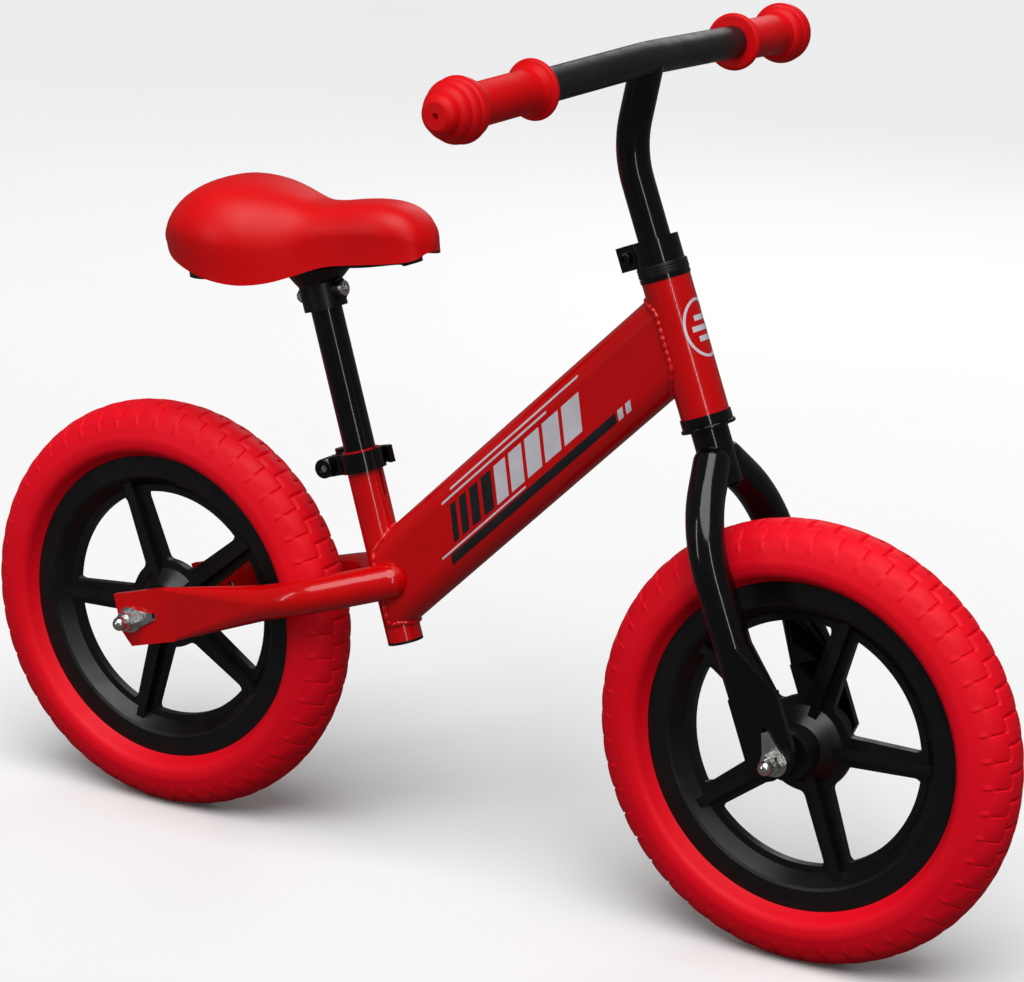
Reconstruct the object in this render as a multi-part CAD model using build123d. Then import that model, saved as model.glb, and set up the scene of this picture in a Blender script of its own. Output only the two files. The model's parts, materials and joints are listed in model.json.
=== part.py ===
from build123d import *
import os
from math import atan2, cos, degrees, radians, sin, tan

# Child's balance bike. Millimetres. X points forward, Y to the rider's left, Z up. The
# origin is on the ground, half way between the wheel axles, in the bike's middle plane.

# ---- Driving dimensions: layout
wheelbase = 520.0
wheel_diameter = 304.0
tyre_width = 51.0
head_angle = 69.0  # steering axis above the horizontal, leaning back
seat_angle = 72.75  # seat tube above the horizontal, leaning back
fork_offset = 5.5  # axle ahead of the steering axis
fork_tyre_gap = 28.0  # from the front tyre's crown up to the steerer's lower end
crown_height = 48.0  # from the steerer's lower end to the head tube's foot
rear_tyre_gap = 33.0  # from the rear tyre's crown to the seat tube
head_tube_length = 93.0
seat_tube_length = 138.0
seat_tube_drop = 49.5  # the tube's foot below the axle's level, along the tube
down_tube_head_height = 56.5  # centre line's meeting point above the head tube's foot
down_tube_seat_height = 39.6  # centre line's meeting point above the seat tube's foot
stay_meeting_height = 45.0  # stay's line meets the seat tube, above its foot

# ---- Driving dimensions: tubes
head_tube_wall = 2.2
headset_play = 1.6  # between the steerer and the head tube's bore
down_tube_height = 61.6
down_tube_width = 31.0
down_tube_wall = 1.5
seat_tube_wall = 1.55
seat_slot_width = 3.5
seat_slot_depth = 34.0
plug_flange = 2.0
plug_depth = 9.0
stay_od = 25.4
stay_tyre_gap = 6.3  # from the tyre's side to the stay
stay_bend_reach = 148.0  # where the stay turns in towards the seat tube, from the axle
stay_seat_side = 20.0  # stay's centre line out from the middle plane at the seat tube
stay_past_seat = 10.0  # where the stay's round end starts, ahead of the seat tube's axis
tube_wall = 1.5
steerer_wall = 1.55
blade_od = 25.4
blade_tyre_gap = 9.8
blade_root_height = 15.5  # blade's centre line starts this far above the steerer's end
blade_root_side = 9.5  # and this far out from the steering axis
blade_spread_drop = 37.5  # how far down the blade spreads before it runs straight
blade_bend_radius = 75.0
bar_od = 22.2
running_gap = 0.05  # radial play of a tube or shaft that moves in its bore
body_gap = 0.3  # play between faces of different moving bodies

# ---- Driving dimensions: dropouts and axles
front_hub_space = 85.0  # between the fork's plates
rear_hub_space = 90.0  # between the frame's plates
plate_thickness = 5.0
fork_plate_width = 36.5
fork_plate_setback = 3.0  # plate's middle behind the axle
fork_plate_top = 46.0  # flat plate's upper end above the axle
fork_taper_top = 80.0  # where the round blade starts to flatten, above the axle
fork_plate_foot = 12.0  # plate's lower end below the axle
stay_plate_height = 39.5
stay_plate_front = 36.0  # flat plate's front end, ahead of the axle
stay_taper_front = 118.0  # where the round stay starts to flatten, ahead of the axle
stay_plate_tail = 10.5  # plate's rear end behind the axle
axle_diameter = 8.0
slot_clearance = 0.25
washer_thickness = 1.5
washer_od = 19.0
washer_tab_reach = 21.0
washer_tab_width = 5.0
washer_hook_depth = 3.0
washer_hook_width = 4.0
washer_hook_clearance = 0.4  # around the tab's width, in the plate's round hole
washer_shoulder = 8.7  # half width where the tab starts to taper
nut_across_flats = 13.0
nut_height = 7.5
nut_dome_diameter = 10.4
nut_dome_height = 4.2  # straight part under the round end
spacer_od = 17.0

# ---- Driving dimensions: headset and clamps
lower_cup_height = 6.5
lower_cup_od = 34.8
crown_race_height = 2.6
crown_race_od = 37.2
crown_race_round = 0.9
top_cover_round = 0.8
upper_cup_height = 3.0
top_cover_height = 7.4
headset_od = 34.2
cup_skirt = 14.0  # how deep the headset cups reach into the head tube
steerer_clamp_height = 16.5
steerer_clamp_od = 31.6
clamp_ear_reach = 27.5  # ear's rear edge behind the steering axis
clamp_ear_thickness = 4.5
clamp_slot = 3.0
clamp_bolt_diameter = 5.0
clamp_bolt_head = 8.5
clamp_bolt_head_height = 3.0
clamp_bolt_round = 0.8
clamp_bolt_key = 4.0
clamp_bolt_key_depth = 1.8
clamp_bolt_tail = 4.5  # thread past the far ear
clamp_nut_across_flats = 8.0
clamp_nut_height = 4.0
clamp_above = 0.6  # clamp's top above the steerer's
seat_clamp_height = 14.0
seat_clamp_od = 31.6
seat_rim = 1.0  # seat tube's rim that shows above its clamp
skewer_setback = 25.0  # skewer behind the seat tube's axis
skewer_diameter = 5.0
barrel_nut_diameter = 14.0
barrel_nut_width = 5.0
barrel_nut_round = 1.0
barrel_nut_wall = 1.5  # between the skewer's end and the nut's face
seat_ear_outer = 9.5  # ear's outer face, out from the middle plane
lever_head_diameter = 16.0
lever_head_height = 19.0
lever_pivot_diameter = 8.0
lever_pivot_height = 12.0
lever_bore_height = 15.0
lever_slot_clearance = 0.7  # either side of the skewer, in the lever's slot
lever_swing = 135.0
lever_head_gap = 1.0  # from the collar's ear to the lever's head
lever_hook_angle = 45.0  # where the folded lever leaves the collar's curve
lever_height = 12.0
lever_thickness = 3.6
lever_wrap_gap = 2.0  # from the collar to the folded lever
lever_reach = 17.0  # lever's tip ahead of the seat tube's axis

# ---- Driving dimensions: seat
post_insertion = 85.0  # seat post inside the seat tube at the height shown
post_visible = 101.5  # from the seat tube's top to the saddle's socket
socket_od = 31.0
socket_height = 24.0
socket_depth = 25.0
boss_overlap = 6.0  # the flared boss starts this far below the socket's end
boss_lower = (28.0, 20.0)  # half length and half width of the boss, part way up
boss_lower_rise = 12.0
boss_lower_lead = 4.0  # its middle ahead of the post
boss_upper = (44.0, 24.0)
boss_upper_rise = 34.0
boss_upper_lead = 8.0
bolt_pad_radius = 8.0  # raised round pad under the bolt's head
bolt_pad_height = 1.0
nut_recess_depth = 1.5  # flat for the nut, cut into the socket's back
nut_recess_height = 13.0
saddle_rise = 35.0  # from the socket's mouth to the pad's underside, along the post
saddle_tilt = 9.0  # nose up
saddle_tail = 110.0
saddle_nose = 98.0
saddle_half_width = 62.0
saddle_nose_half_width = 26.0
saddle_height = 60.0
saddle_waist_height = 39.0
saddle_nose_height = 39.0
saddle_base_thickness = 5.0
saddle_base_inset = 15.0
saddle_bolt_diameter = 6.0
saddle_bolt_rise = 11.5  # above the socket's mouth
saddle_bolt_head = 11.6
saddle_bolt_head_height = 3.6
saddle_bolt_round = 1.4
saddle_bolt_key = 5.0  # hexagon socket, across flats
saddle_bolt_key_depth = 2.4
saddle_bolt_tail = 4.0  # thread past the nut's side of the socket
saddle_nut_across_flats = 10.0
saddle_nut_height = 4.0

# ---- Driving dimensions: handlebar
stem_insertion = 75.0
stem_bend_height = 87.5  # stem's bend above the head tube's top
stem_bend_radius = 76.0
stem_upper_angle = 79.0  # upper stem above the horizontal, leaning forward
stem_upper_length = 62.6
stem_short = 2.0  # from the stem's end to the bar's axis
bar_half_length = 227.0
bar_sweep = 3.2
bar_drop = 2.2
bar_bend_radius = 150.0
grip_start = 131.5  # grip's inner edge, along the bar from its middle
grip_end = 238.0
grip_radius = 13.8
grip_flange_radius = 19.6
grip_flange_width = 5.0
grip_ball_radius = 20.1
grip_ball_length = 35.5
grip_ribs = 5
grip_rib_height = 1.6
grip_flare = 0.6  # extra radius beside the flange
grip_neck = 1.4  # extra radius where the ball starts
grip_ball_swell = 1.18
grip_tip_share = 0.42  # tip's radius as a share of the ball's
grip_hole_radius = 2.2

# ---- Driving dimensions: wheels
rim_diameter = 228.0
rim_width = 27.0
rim_bed_depth = 5.0  # tyre's seat below the lips
rim_bed_width = 19.0
rim_face_width = 17.0  # flat side of the lip, measured along the radius
window_outer_radius = 86.5
window_inner_radius = 33.0
window_corner = 5.5
web_half_thickness = 3.2
spoke_count = 5
spoke_root_width = 22.0
spoke_tip_width = 16.0
spoke_rib_width = 6.5
spoke_rib_half_thickness = 8.5
front_spoke_angle = 1.3
rear_spoke_angle = 39.7
hub_radius = 17.0
hub_flange_radius = 24.0
hub_bush_radius = 11.0
hub_bush_width = 7.0
hub_spacer_gap = 9.0  # from the hub's end to the plate
hub_bore_radius = 8.0
hub_cone_height = 11.0  # the hub's flare, above the web
hub_flange_height = 3.0
rim_edge = 1.2  # bevel round the lips
rim_lip_wall = 1.2  # lip's land inside its bevel
rim_web_run = 3.0  # flat web outside the windows
rim_face_bevel = 2.0
tyre_shoulder_radius = 125.5
tyre_bulge_rise = 3.4  # above the rim's lip
tyre_bulge_share = 0.86  # of the half width, at the bulge
wall_margin = 2.0  # cutters pass this far beyond what they cut
block = 1000.0  # cutting blocks, larger than the bike's frame
weld_gap = 0.02  # left by the cut between the stem's end and the bar

# ---- Worked out from the driving dimensions
wheel_radius = wheel_diameter / 2
rim_radius = rim_diameter / 2
rear_axle = Vector(-wheelbase / 2, 0, wheel_radius)
front_axle = Vector(wheelbase / 2, 0, wheel_radius)
fork_length = wheel_radius + fork_tyre_gap + crown_height
post_radius = bar_od / 2
steerer_bore = post_radius + running_gap
steerer_od = 2 * (steerer_bore + steerer_wall)
head_tube_od = steerer_od + 2 * (headset_play + head_tube_wall)
seat_tube_od = 2 * (post_radius + running_gap + seat_tube_wall)


def leaning(angle):
    """Upward direction of an axis that leans back, and the direction ahead of it."""
    up = Vector(-cos(radians(angle)), 0, sin(radians(angle)))
    ahead = Vector(sin(radians(angle)), 0, cos(radians(angle)))
    return up, ahead


steer_up, steer_ahead = leaning(head_angle)
seat_up, seat_ahead = leaning(seat_angle)
head_foot = front_axle - steer_ahead * fork_offset + steer_up * fork_length
steer = Plane(origin=head_foot, x_dir=steer_ahead, z_dir=steer_up)
seat_distance = wheel_radius + rear_tyre_gap + seat_tube_od / 2
seat_foot = rear_axle + seat_ahead * seat_distance - seat_up * seat_tube_drop
seat = Plane(origin=seat_foot, x_dir=seat_ahead, z_dir=seat_up)


def rod(radius, low, high):
    """Round bar along local Z."""
    return Pos(0, 0, (low + high) / 2) * Cylinder(radius, high - low)


def pipe(radius, bore, low, high):
    """Round tube along local Z."""
    return rod(radius, low, high) - rod(bore, low - wall_margin, high + wall_margin)


def crosswise(part):
    """Turns local Z to +Y, and keeps X."""
    return Rot(-90, 0, 0) * part


def hexagon_prism(across_flats, low, high):
    """Hexagonal bar along local Z."""
    outline = RegularPolygon(across_flats / 2, 6, major_radius=False)
    return Pos(0, 0, low) * extrude(outline, amount=high - low)


def swept(path, outline):
    """Outline carried along a path that starts at its first point."""
    start = Plane(origin=path @ 0, z_dir=path % 0)
    return sweep(start * outline, path=path)


def swept_pipe(path, radius, bore):
    return swept(path, Circle(radius)) - swept(path, Circle(bore))


def swept_capped(path, radius, bore):
    """Tube with a closed, half-round far end."""
    end = Plane(origin=path @ 1, z_dir=path % 1)
    outer = swept(path, Circle(radius)) + end * Sphere(radius, arc_size1=0, align=None)
    inner = swept(path, Circle(bore)) + end * Sphere(bore, arc_size1=0, align=None)
    return outer - inner


# ---- Frame
head_radius = head_tube_od / 2
head_bore = head_radius - head_tube_wall
seat_radius = seat_tube_od / 2
seat_bore = post_radius + running_gap
clamp_foot = seat_tube_length - seat_rim - seat_clamp_height


def head_tube():
    return steer * pipe(head_radius, head_bore, 0, head_tube_length)


def seat_tube():
    tube = pipe(seat_radius, seat_bore, 0, seat_tube_length)
    slot_middle = seat_tube_length - seat_slot_depth / 2 + wall_margin / 2
    slot = Box(seat_radius, seat_slot_width, seat_slot_depth + wall_margin)
    end = crosswise(rod(seat_slot_width / 2, -seat_radius, seat_radius))
    round_end = Rot(0, 0, 90) * end
    tube -= Pos(seat_radius, 0, slot_middle) * slot
    tube -= Pos(seat_radius * 1.5, 0, seat_tube_length - seat_slot_depth) * round_end
    return seat * tube


down_head = head_foot + steer_up * down_tube_head_height
down_seat = seat_foot + seat_up * down_tube_seat_height
down_run = down_head - down_seat
down_plane = Plane(origin=down_seat, x_dir=(0, 1, 0), z_dir=down_run)


def down_tube_body(margin):
    """Flat-sided oval bar from the seat tube's axis to the steering axis."""
    straight = down_tube_height - down_tube_width
    radius = down_tube_width / 2 - margin
    outline = Rectangle(2 * radius, straight)
    for side in (-1, 1):
        outline += Pos(0, side * straight / 2) * Circle(radius)
    reach = down_tube_height
    bar = Pos(0, 0, -reach) * extrude(outline, amount=down_run.length + 2 * reach)
    bar = down_plane * bar
    ahead_of_seat = seat * Pos(block / 2, 0, 0) * Box(block, block, block)
    behind_head = steer * Pos(-block / 2, 0, 0) * Box(block, block, block)
    return bar & ahead_of_seat & behind_head


def down_tube():
    tube = down_tube_body(0) - down_tube_body(down_tube_wall)
    tube -= seat * rod(seat_radius, -wall_margin, seat_tube_length)
    tube -= steer * rod(head_radius, -wall_margin, head_tube_length)
    return tube


stay_target = seat_foot + seat_up * stay_meeting_height
stay_run = stay_target - rear_axle
stay_angle = degrees(atan2(stay_run.Z, stay_run.X))
stay_slope = Vector(cos(radians(stay_angle)), 0, sin(radians(stay_angle)))
stay_normal = Vector(-stay_slope.Z, 0, stay_slope.X)
stay = Plane(origin=rear_axle, x_dir=stay_slope, z_dir=stay_normal)
stay_side = tyre_width / 2 + stay_tyre_gap + stay_od / 2
rear_plate_side = rear_hub_space / 2 + plate_thickness / 2
front_plate_side = front_hub_space / 2 + plate_thickness / 2


def flattened(round_plane, flat_plane, diameter, width, thickness):
    """Tube end pressed from round to a flat: width by thickness at its flat plane."""
    shell = None
    for wall in (0, tube_wall):
        full = diameter - 2 * wall
        wide = width - 2 * wall
        thin = thickness - 2 * wall
        start = RectangleRounded(full, full, full / 2 * 0.999)
        end = RectangleRounded(thin, wide, thin / 2 * 0.999)
        body = loft([round_plane * start, flat_plane * end])
        shell = body if shell is None else shell - body
    return shell


def axle_slot(radius, reach):
    """Slot that opens along local -X, through a plate on local Z."""
    depth = plate_thickness + 2 * wall_margin
    return Cylinder(radius, depth) + Pos(-reach / 2, 0, 0) * Box(reach, 2 * radius, depth)


def right_chainstay():
    end_reach = stay_run.length + stay_past_seat
    inward = (stay_side - stay_seat_side) / (stay_run.length - stay_bend_reach)
    end_side = stay_side - inward * (end_reach - stay_bend_reach)
    path = FilletPolyline(
        (stay_taper_front, -stay_side),
        (stay_bend_reach, -stay_side),
        (end_reach, -end_side),
        radius=stay_od * 2,
    )
    body = swept_capped(path, stay_od / 2, stay_od / 2 - tube_wall)
    across = {"x_dir": (0, 1, 0), "z_dir": (1, 0, 0)}
    round_plane = Plane(origin=(stay_taper_front, -stay_side, 0), **across)
    flat_plane = Plane(origin=(stay_plate_front, -rear_plate_side, 0), **across)
    body += flattened(
        round_plane, flat_plane, stay_od, stay_plate_height, plate_thickness
    )
    half = stay_plate_height / 2
    cut_corner = half * 0.6
    plate = Polygon(
        (stay_plate_front, half),
        (-stay_plate_tail, half),
        (-stay_plate_tail, -half + cut_corner),
        (-stay_plate_tail + cut_corner / 2, -half),
        (stay_plate_front, -half),
        align=None,
    )
    solid = extrude(Plane.XZ * plate, amount=plate_thickness / 2, both=True)
    slot_radius = axle_diameter / 2 + slot_clearance
    solid -= crosswise(axle_slot(slot_radius, stay_plate_tail + wall_margin))
    solid -= washer_hole(washer_tab_reach)
    body += Pos(0, -rear_plate_side, 0) * solid
    placed = stay * body
    placed -= seat * rod(seat_radius, -wall_margin, seat_tube_length)
    placed -= down_tube_body(0)
    return max(placed.solids(), key=lambda piece: piece.volume)


def washer_hole(reach):
    """Round hole for the tab washer's hook, through a plate on local Y."""
    depth = plate_thickness + 2 * wall_margin
    radius = washer_tab_width / 2 + washer_hook_clearance
    return Pos(reach, 0, 0) * crosswise(Cylinder(radius, depth))


def seat_tube_plug():
    flange = rod(seat_radius, -plug_flange, 0)
    return seat * (flange + rod(seat_bore, 0, plug_depth))


def headset_cup(outer, height, end):
    """Bush with a flange outside the head tube; end is 0 at the foot, 1 at the top."""
    bore = steerer_od / 2 + running_gap
    if end:
        flange = pipe(outer / 2, bore, head_tube_length, head_tube_length + height)
        skirt = pipe(head_bore, bore, head_tube_length - cup_skirt, head_tube_length)
    else:
        flange = pipe(outer / 2, bore, -height, 0)
        skirt = pipe(head_bore, bore, 0, cup_skirt)
    return steer * (flange + skirt)


# ---- Seat clamp, in the seat tube's frame
clamp_middle = clamp_foot + seat_clamp_height / 2
lever_pivot_side = seat_ear_outer + lever_head_gap + lever_head_diameter / 2
skewer_line = Pos(-skewer_setback, 0, clamp_middle)
lever_pivot = Pos(-skewer_setback, lever_pivot_side, clamp_middle)


def seat_clamp_collar():
    ring = rod(seat_clamp_od / 2, clamp_foot, clamp_foot + seat_clamp_height)
    lug = crosswise(rod(barrel_nut_diameter / 2, -seat_ear_outer, seat_ear_outer))
    web = Box(skewer_setback, 2 * seat_ear_outer, barrel_nut_diameter)
    body = ring + skewer_line * lug
    body += Pos(-skewer_setback / 2, 0, clamp_middle) * web
    body -= rod(seat_radius, 0, seat_tube_length + wall_margin)
    slot = Box(2 * skewer_setback, clamp_slot, 3 * seat_clamp_height)
    body -= Pos(-skewer_setback, 0, clamp_middle) * slot
    shaft = rod(skewer_diameter / 2, -2 * seat_ear_outer, 2 * seat_ear_outer)
    body -= skewer_line * crosswise(shaft)
    return seat * body


def seat_clamp_skewer():
    shaft = rod(
        skewer_diameter / 2,
        -seat_ear_outer - barrel_nut_width + barrel_nut_wall,
        lever_pivot_side,
    )
    pivot = lever_pivot * Cylinder(lever_pivot_diameter / 2, lever_pivot_height)
    return seat * (skewer_line * crosswise(shaft) + pivot)


def seat_clamp_nut():
    """Round nut with a hexagon socket, on the skewer's right end."""
    outer = -seat_ear_outer - barrel_nut_width
    body = rod(barrel_nut_diameter / 2, outer, -seat_ear_outer)
    rim = body.edges().filter_by(GeomType.CIRCLE).sort_by(Axis.Z)[0]
    body = fillet(rim, barrel_nut_round)
    body -= rod(skewer_diameter / 2, outer + barrel_nut_wall, 0)
    body -= hexagon_prism(skewer_diameter + 1.0, outer - 1.0, outer + 1.5)
    return seat * (skewer_line * crosswise(body))


def skewer_way():
    """Room for the skewer in the lever's head, from folded to fully open."""
    width = skewer_diameter + 2 * lever_slot_clearance
    reach = lever_head_diameter
    way = Pos(0, -reach / 2, 0) * Box(width, reach, width)
    opened = Rot(0, 0, -lever_swing) * way
    between = Rot(0, 0, -lever_swing / 2) * Pos(0, -reach / 2, 0) * Box(reach, reach, width)
    return way + opened + between


def seat_clamp_lever():
    """Folded along the collar's left side; it swings out about its own head."""
    inner = seat_clamp_od / 2 + lever_wrap_gap
    outer = inner + lever_thickness
    mean = (inner + outer) / 2
    half = lever_thickness / 2
    head_side = lever_pivot_side + lever_head_diameter / 2
    middle = Pos(0, 0, clamp_middle)
    band = middle * (Cylinder(outer, lever_height) - Cylinder(inner, 2 * lever_height))
    start = Vector(cos(radians(lever_hook_angle)), sin(radians(lever_hook_angle)), 0) * mean
    sector = Polygon(
        (0, 0), (2 * outer, 2 * outer), (-outer, 3 * outer), (-2 * outer, 3 * outer),
        align=None,
    )
    arm = band & middle * extrude(sector, amount=lever_height, both=True)
    root = Polygon(
        (-skewer_setback + half, head_side - lever_head_gap),
        (-skewer_setback + half, lever_pivot_side),
        (-mean * 0.62, inner * 0.86),
        (-inner * 0.1, outer),
        align=None,
    )
    arm += middle * extrude(root, amount=lever_height / 2, both=True)
    tip = Polygon(
        (start.X - half, start.Y - half),
        (lever_reach, start.Y * 0.62),
        (lever_reach + half, start.Y * 0.62 + lever_thickness),
        (start.X, start.Y + lever_thickness),
        align=None,
    )
    arm += middle * extrude(tip, amount=lever_height / 2, both=True)
    head = lever_pivot * Cylinder(lever_head_diameter / 2, lever_head_height)
    body = head + arm
    body -= middle * Cylinder(inner, 3 * lever_height)
    pivot_bore = lever_pivot_diameter / 2 + running_gap
    body -= lever_pivot * Cylinder(pivot_bore, lever_bore_height)
    body -= lever_pivot * skewer_way()
    return seat * max(body.solids(), key=lambda piece: piece.volume)


# ---- Axles and their fittings, in a frame whose Y is the axle
def axle(side):
    """Threaded rod that ends inside the two cap nuts."""
    reach = side + plate_thickness / 2 + washer_thickness + nut_height
    return crosswise(rod(axle_diameter / 2, -reach, reach))


def cap_nut(side):
    seat_face = side + plate_thickness / 2 + washer_thickness
    top = seat_face + nut_height
    body = hexagon_prism(nut_across_flats, seat_face, top)
    dome_radius = nut_dome_diameter / 2
    body += rod(dome_radius, top, top + nut_dome_height)
    body += Pos(0, 0, top + nut_dome_height) * Sphere(dome_radius)
    body -= rod(axle_diameter / 2, seat_face - wall_margin, top)
    return crosswise(body)


def tab_washer(side, reach):
    """Teardrop washer whose tip hooks into a hole in the plate, towards local +X."""
    outline = Circle(washer_od / 2)
    half_tab = washer_tab_width / 2
    outline += Polygon(
        (0, washer_shoulder), (reach, half_tab), (reach, -half_tab), (0, -washer_shoulder),
        align=None,
    )
    outline -= Circle(axle_diameter / 2)
    inner_face = side + plate_thickness / 2
    body = Pos(0, 0, inner_face) * extrude(outline, amount=washer_thickness, dir=(0, 0, 1))
    hook = Box(washer_thickness, washer_hook_width, washer_hook_depth)
    body += Pos(reach - washer_thickness / 2, 0, inner_face - washer_hook_depth / 2) * hook
    return crosswise(body)


def axle_spacer(side):
    inner = side - plate_thickness / 2 - hub_spacer_gap + body_gap
    outer = side - plate_thickness / 2
    body = pipe(spacer_od / 2, axle_diameter / 2, inner, outer)
    return crosswise(body)


def both_sides(part):
    return Compound(children=[part, mirror(part, Plane.XZ)])


# ---- Seat
post_foot = seat_tube_length - post_insertion
socket_mouth = seat_tube_length + post_visible
post_top = socket_mouth + socket_depth
saddle_origin = seat_foot + seat_up * (socket_mouth + saddle_rise)
saddle_slope = Vector(cos(radians(saddle_tilt)), 0, sin(radians(saddle_tilt)))
saddle_normal = Vector(-saddle_slope.Z, 0, saddle_slope.X)
saddle = Plane(origin=saddle_origin, x_dir=saddle_slope, z_dir=saddle_normal)
bolt_height = socket_mouth + saddle_bolt_rise
bolt_face = socket_od / 2 + bolt_pad_height


def along_x(part):
    """Turns local Z to +X."""
    return Rot(0, 90, 0) * part


def saddle_bolt_hole():
    radius = saddle_bolt_diameter / 2
    return Pos(0, 0, bolt_height) * along_x(rod(radius, -socket_od, socket_od))


def seat_post():
    body = pipe(post_radius, post_radius - tube_wall, post_foot, post_top)
    return seat * (body - saddle_bolt_hole())


def saddle_outline(inset):
    """Half width from tail to nose, as one smooth closed outline."""
    tail = -saddle_tail + inset
    nose = saddle_nose - inset
    wide = saddle_half_width - inset
    narrow = saddle_nose_half_width - inset
    half = [
        (tail, 0),
        (-saddle_tail * 0.92 + inset * 0.7, wide * 0.52),
        (-saddle_tail * 0.56, wide),
        (-saddle_tail * 0.2, wide * 0.78),
        (saddle_nose * 0.16, narrow * 1.12),
        (saddle_nose * 0.6, narrow),
        (saddle_nose * 0.9 - inset * 0.7, narrow * 0.72),
        (nose, 0),
    ]
    left = Spline(*half, tangents=[(0, 1), (0, -1)])
    return make_face(left + mirror(left, Plane.XZ))


def saddle_pad():
    top = Spline(
        (-saddle_tail, saddle_height * 0.25),
        (-saddle_tail * 0.93, saddle_height * 0.55),
        (-saddle_tail * 0.8, saddle_height * 0.84),
        (-saddle_tail * 0.54, saddle_height),
        (saddle_nose * 0.12, saddle_waist_height),
        (saddle_nose * 0.6, saddle_nose_height),
        (saddle_nose * 0.9, saddle_nose_height * 0.7),
        (saddle_nose, saddle_nose_height * 0.2),
    )
    rest = Polyline(
        (saddle_nose, saddle_nose_height * 0.2),
        (saddle_nose, 0),
        (-saddle_tail, 0),
        (-saddle_tail, saddle_height * 0.25),
    )
    profile = Plane.XZ * make_face(top + rest)
    side_view = extrude(profile, amount=saddle_half_width + wall_margin, both=True)
    tall = saddle_height + wall_margin
    plan_view = extrude(saddle_outline(0), amount=tall, dir=(0, 0, 1))
    return saddle * (side_view & plan_view)


def saddle_base():
    outline = saddle_outline(saddle_base_inset)
    shell = extrude(outline, amount=saddle_base_thickness, dir=(0, 0, -1))
    plate = saddle * shell
    socket = rod(socket_od / 2, socket_mouth, socket_mouth + socket_height)
    foot = socket_mouth + socket_height - boss_overlap
    lower = Plane(origin=(boss_lower_lead, 0, foot + boss_lower_rise))
    upper = Plane(origin=(boss_upper_lead, 0, foot + boss_upper_rise))
    boss = loft(
        [
            Plane(origin=(0, 0, foot)) * Circle(socket_od / 2),
            lower * Ellipse(*boss_lower),
            upper * Ellipse(*boss_upper),
        ]
    )
    neck = socket + boss
    neck += Pos(0, 0, bolt_height) * along_x(rod(bolt_pad_radius, 0, bolt_face))
    above = saddle * Pos(0, 0, block / 2 - saddle_base_thickness) * Box(block, block, block)
    body = seat * neck - above
    body += plate
    body -= seat * rod(post_radius, socket_mouth - wall_margin, post_top)
    body -= seat * saddle_bolt_hole()
    recess = Box(2 * nut_recess_depth, socket_od, nut_recess_height)
    return body - seat * Pos(-socket_od / 2, 0, bolt_height) * recess


def saddle_bolt():
    top = bolt_face + saddle_bolt_head_height
    head = rod(saddle_bolt_head / 2, bolt_face, top)
    rim = head.edges().filter_by(GeomType.CIRCLE).sort_by(Axis.Z)[-1]
    head = fillet(rim, saddle_bolt_round)
    head -= hexagon_prism(saddle_bolt_key, top - saddle_bolt_key_depth, top + wall_margin)
    body = head + rod(saddle_bolt_diameter / 2, -bolt_face - saddle_bolt_tail, bolt_face)
    return seat * (Pos(0, 0, bolt_height) * along_x(body))


def saddle_bolt_nut():
    face = -socket_od / 2 + nut_recess_depth
    back = face - saddle_nut_height
    body = hexagon_prism(saddle_nut_across_flats, back, face)
    body -= rod(saddle_bolt_diameter / 2, back - wall_margin, face + wall_margin)
    return seat * (Pos(0, 0, bolt_height) * along_x(body))


# ---- Fork, in the steering frame
clamp_low = head_tube_length + upper_cup_height + body_gap + top_cover_height
clamp_high = clamp_low + steerer_clamp_height
steerer_radius = steerer_od / 2
blade_side = tyre_width / 2 + blade_tyre_gap + blade_od / 2


def steerer():
    return steer * pipe(steerer_radius, steerer_bore, -crown_height, clamp_high - clamp_above)


def right_fork_blade():
    root = -crown_height + blade_root_height
    taper_top = fork_taper_top - fork_length
    plate_top = fork_plate_top - fork_length
    path = FilletPolyline(
        (0, -blade_side, taper_top),
        (0, -blade_side, root - blade_spread_drop),
        (0, -blade_root_side, root),
        radius=blade_bend_radius,
    )
    body = swept_capped(path, blade_od / 2, blade_od / 2 - tube_wall)
    across = {"x_dir": (0, 1, 0), "z_dir": (0, 0, -1)}
    round_plane = Plane(origin=(0, -blade_side, taper_top), **across)
    middle = fork_offset - fork_plate_setback
    flat_plane = Plane(origin=(middle, -front_plate_side, plate_top), **across)
    body += flattened(
        round_plane, flat_plane, blade_od, fork_plate_width, plate_thickness
    )
    half = fork_plate_width / 2
    corner = half * 0.5
    foot = -fork_length - fork_plate_foot
    plate = Polygon(
        (middle - half, plate_top),
        (middle - half, foot + corner),
        (middle - half + corner, foot),
        (middle + half - corner, foot),
        (middle + half, foot + corner),
        (middle + half, plate_top),
        align=None,
    )
    solid = extrude(Plane.XZ * plate, amount=plate_thickness / 2, both=True)
    slot = axle_slot(axle_diameter / 2 + slot_clearance, fork_plate_foot + wall_margin)
    place = Pos(fork_offset, 0, -fork_length) * Rot(0, -90, 0)
    solid -= place * crosswise(slot)
    solid -= place * washer_hole(washer_tab_reach)
    body += Pos(0, -front_plate_side, 0) * solid
    body -= rod(steerer_radius, -fork_length, head_tube_length)
    return steer * max(body.solids(), key=lambda piece: piece.volume)


def crown_race():
    top = -lower_cup_height - body_gap
    body = pipe(crown_race_od / 2, steerer_radius, top - crown_race_height, top)
    rims = body.edges().filter_by(GeomType.CIRCLE).sort_by(SortBy.RADIUS)[-2:]
    return steer * fillet(rims, crown_race_round)


def headset_top_cover():
    low = head_tube_length + upper_cup_height + body_gap
    body = pipe(headset_od / 2, steerer_radius, low, low + top_cover_height)
    rims = body.edges().filter_by(GeomType.CIRCLE).sort_by(SortBy.RADIUS)[-2:]
    return steer * fillet(rims.sort_by(Axis.Z)[-1], top_cover_round)


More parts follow.
